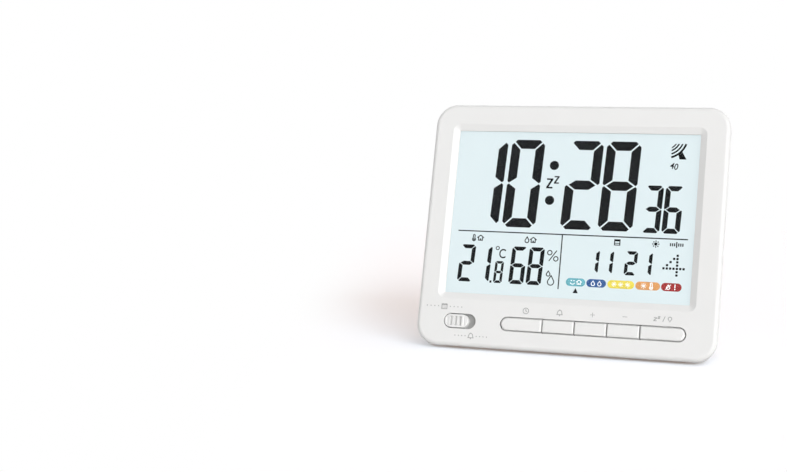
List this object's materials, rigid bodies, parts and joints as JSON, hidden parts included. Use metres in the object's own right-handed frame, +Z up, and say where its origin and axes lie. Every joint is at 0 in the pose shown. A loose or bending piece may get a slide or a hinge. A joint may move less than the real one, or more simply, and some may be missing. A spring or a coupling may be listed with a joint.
{
  "type": "digital desk clock",
  "caption": "Leaning desk clock with a large segment display, a row of push keys, a slide switch, a fold-out rear stand and a battery bay.",
  "frame": {"origin": "middle of the bottom of the clock's box, on the table, with the stand open", "axes": "+X to the right along the face, +Y from the face to the back, +Z up"},
  "size_m": [0.13, 0.0568, 0.1047],
  "materials": {
    "white_shell": "satin moulded",
    "clear_lens": "clear acrylic",
    "lcd_glass": "display with dark segments",
    "milky_plastic": "milky",
    "grey_plastic": "matt",
    "grey_rubber": "matt",
    "black_plastic": "matt",
    "circuit_board": "solder mask",
    "steel": "plated",
    "ferrite": "sintered",
    "copper_wire": "enamelled wire",
    "cell_jacket": "printed film"
  },
  "bodies": {
    "case": {"alarm_key_switch": "black_plastic", "antenna_coil": "copper_wire", "antenna_rod": "ferrite", "backlight_led": "milky_plastic", "board_screw_left": "steel", "board_screw_middle": "steel", "board_screw_right": "steel", "buzzer": "black_plastic", "case_screw_bottom_left": "steel", "case_screw_bottom_right": "steel", "case_screw_top_left": "steel", "case_screw_top_right": "steel", "climate_sensor": "milky_plastic", "clock_chip": "black_plastic", "display_holder": "milky_plastic", "display_lens": "clear_lens", "front_bezel": "white_shell", "front_foot_left": "grey_rubber", "front_foot_right": "grey_rubber", "lcd_contact_strip": "grey_rubber", "lcd_panel": "lcd_glass", "light_guide": "milky_plastic", "link_contact": "steel", "lower_cell": "cell_jacket", "lower_spring": "steel", "main_board": "circuit_board", "minus_key_switch": "black_plastic", "negative_contact": "steel", "plus_key_switch": "black_plastic", "positive_contact": "steel", "quartz_crystal": "steel", "rear_cover": "white_shell", "reflector_sheet": "milky_plastic", "reset_switch": "black_plastic", "slide_switch_case": "steel", "snooze_light_key_switch": "black_plastic", "stand_pin": "steel", "time_key_switch": "black_plastic", "upper_cell": "cell_jacket", "upper_spring": "steel"},
    "time_key": {"time_key": "white_shell", "time_key_plunger": "black_plastic"},
    "alarm_key": {"alarm_key": "white_shell", "alarm_key_plunger": "black_plastic"},
    "plus_key": {"plus_key": "white_shell", "plus_key_plunger": "black_plastic"},
    "minus_key": {"minus_key": "white_shell", "minus_key_plunger": "black_plastic"},
    "snooze_light_key": {"snooze_light_key": "white_shell", "snooze_light_key_plunger": "black_plastic"},
    "slide_switch": {"slide_knob": "white_shell", "slide_shutter": "grey_plastic", "slide_switch_lever": "black_plastic"},
    "reset": {"reset_key": "grey_plastic", "reset_plunger": "steel"},
    "door": {"battery_door": "white_shell"},
    "rear_stand": {"stand": "white_shell", "stand_sole": "grey_rubber"}
  },
  "joints": [
    {"name": "time_key_press", "type": "slide", "parent": "case", "child": "time_key", "axis": [0, 0.954, -0.2999], "range_m": [0, 0.0008], "stiffness_N_per_m": 400},
    {"name": "alarm_key_press", "type": "slide", "parent": "case", "child": "alarm_key", "axis": [0, 0.954, -0.2999], "range_m": [0, 0.0008], "stiffness_N_per_m": 400},
    {"name": "plus_key_press", "type": "slide", "parent": "case", "child": "plus_key", "axis": [0, 0.954, -0.2999], "range_m": [0, 0.0008], "stiffness_N_per_m": 400},
    {"name": "minus_key_press", "type": "slide", "parent": "case", "child": "minus_key", "axis": [0, 0.954, -0.2999], "range_m": [0, 0.0008], "stiffness_N_per_m": 400},
    {"name": "snooze_light_key_press", "type": "slide", "parent": "case", "child": "snooze_light_key", "axis": [0, 0.954, -0.2999], "range_m": [0, 0.0008], "stiffness_N_per_m": 400},
    {"name": "slide_switch_move", "type": "slide", "parent": "case", "child": "slide_switch", "axis": [1, 0, 0], "range_m": [0, 0.00285]},
    {"name": "reset_press", "type": "slide", "parent": "case", "child": "reset", "axis": [0, -0.954, 0.2999], "range_m": [0, 0.0008], "stiffness_N_per_m": 400},
    {"name": "battery_door_lift", "type": "slide", "parent": "case", "child": "door", "axis": [0, 0.954, -0.2999], "range_m": [0, 0.025]},
    {"name": "stand_fold", "type": "hinge", "parent": "case", "child": "rear_stand", "pos_m": [0, 0.0128, 0.04147], "axis": [1, 0, 0], "range_deg": [-28, 0]}
  ]
}
